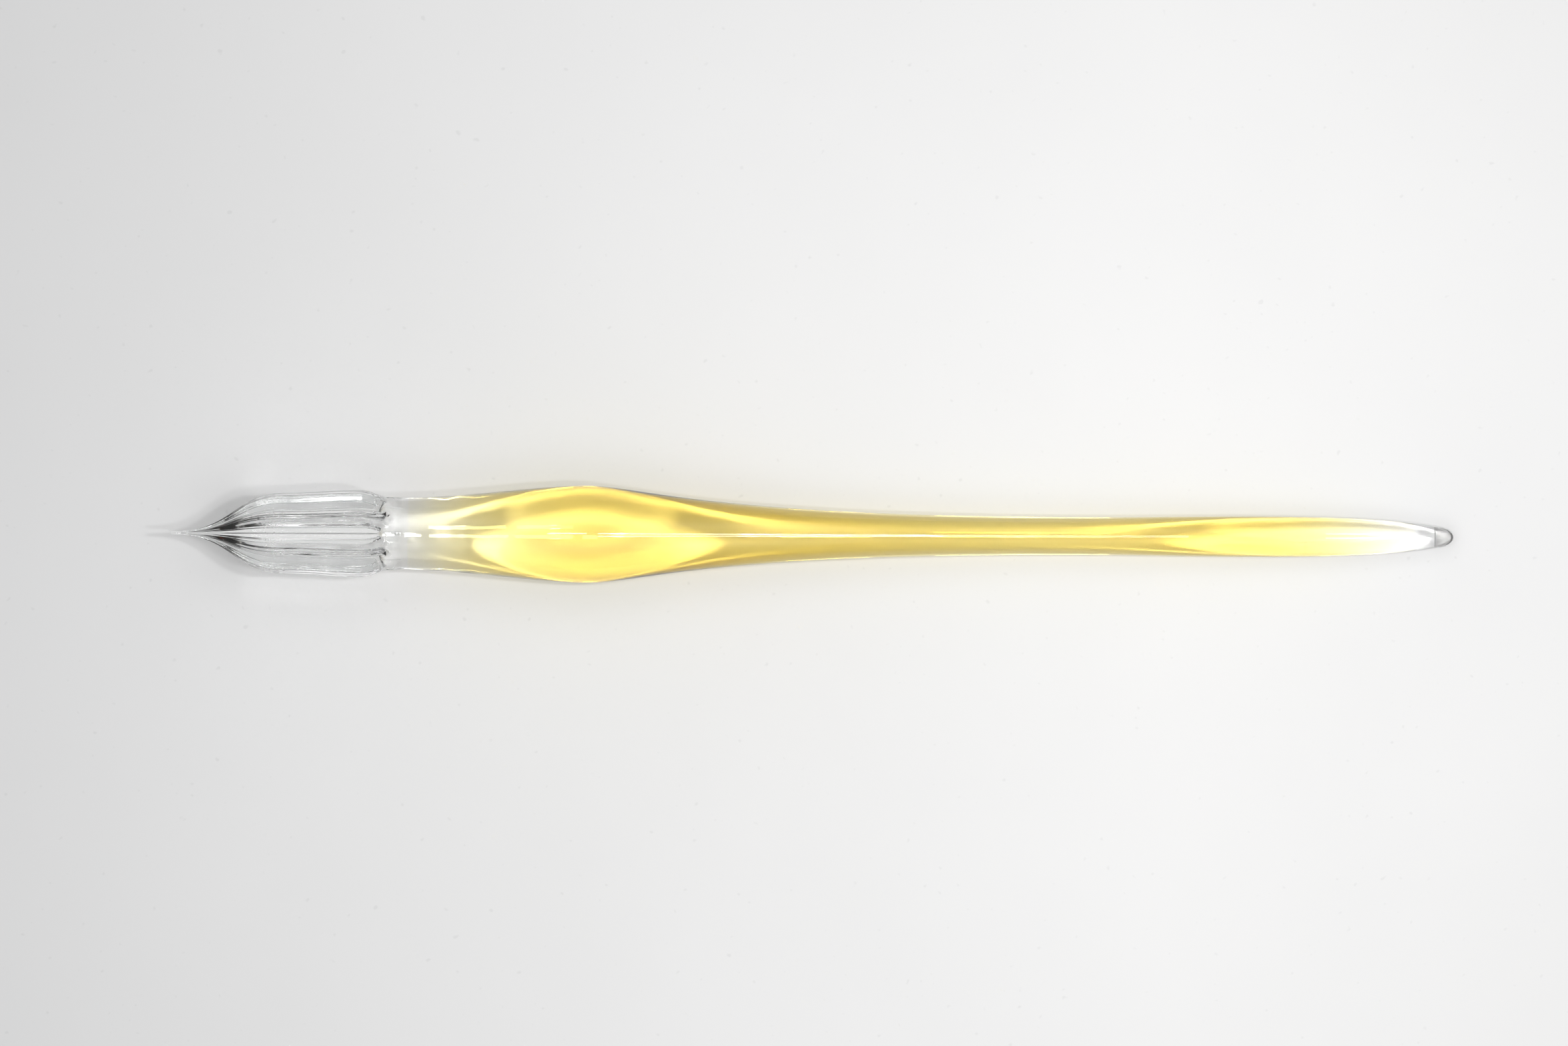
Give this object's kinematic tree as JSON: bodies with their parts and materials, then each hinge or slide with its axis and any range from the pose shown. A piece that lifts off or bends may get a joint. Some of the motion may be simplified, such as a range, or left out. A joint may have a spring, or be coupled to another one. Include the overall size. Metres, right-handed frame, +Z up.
{
  "type": "glass dip pen",
  "caption": "Glass dip pen: a fluted clear nib drawn to a point, a clear collar, and a swelling handle of clear glass over yellow that thins to a rod with a rounded tail.",
  "frame": {"origin": "middle of the pen's length, on the surface that it rests on", "axes": "+X from the writing point towards the tail, +Z up off the surface"},
  "size_m": [0.1802, 0.0136, 0.0141],
  "materials": {
    "clear_glass": "fire-polished clear glass",
    "yellow_glass": "transparent yellow glass"
  },
  "bodies": {
    "root": {"nib_core": "clear_glass", "nib_rib_1": "clear_glass", "nib_rib_2": "clear_glass", "nib_rib_3": "clear_glass", "nib_rib_4": "clear_glass", "nib_rib_5": "clear_glass", "nib_rib_6": "clear_glass", "nib_rib_7": "clear_glass", "nib_rib_8": "clear_glass", "nib_collar": "clear_glass", "handle_core": "yellow_glass", "handle_casing": "clear_glass", "tail_bead": "clear_glass"}
  },
  "joints": []
}
